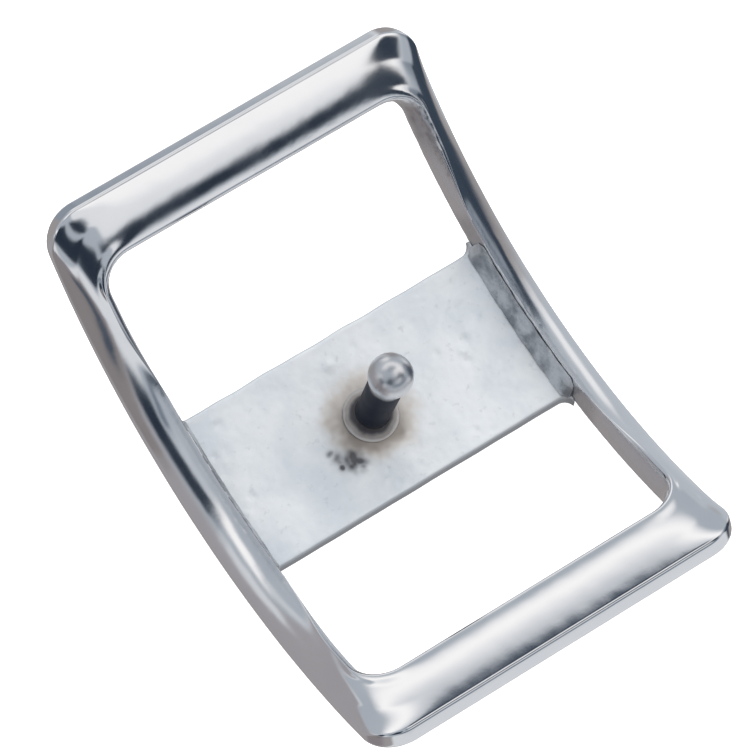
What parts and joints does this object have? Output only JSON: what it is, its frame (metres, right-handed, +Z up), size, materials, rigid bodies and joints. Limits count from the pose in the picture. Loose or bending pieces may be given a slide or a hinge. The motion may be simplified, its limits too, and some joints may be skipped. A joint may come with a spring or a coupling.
{
  "type": "buckle slider",
  "caption": "Arched metal strap buckle: strap windows either side of a cross plate that carries a fixed ball-headed stud.",
  "frame": {"origin": "middle of the cross plate's flat back, which is the lowest point of the part", "axes": "+X across the strap, +Y along the strap, +Z up the stud"},
  "size_m": [0.031, 0.0446, 0.0122],
  "materials": {
    "polished_nickel": "bright nickel plate on polished metal",
    "cast_nickel": "satin nickel plate on a pitted as-cast skin",
    "turned_nickel": "bright nickel plate on turned metal",
    "plated_braze": "thinly plated braze with a beige heat tint"
  },
  "bodies": {
    "root": {"buckle_frame": "polished_nickel", "centre_plate": "cast_nickel", "stud": "turned_nickel", "stud_braze_fillet": "plated_braze", "left_braze_seam": "cast_nickel", "right_braze_seam": "cast_nickel"}
  },
  "joints": []
}
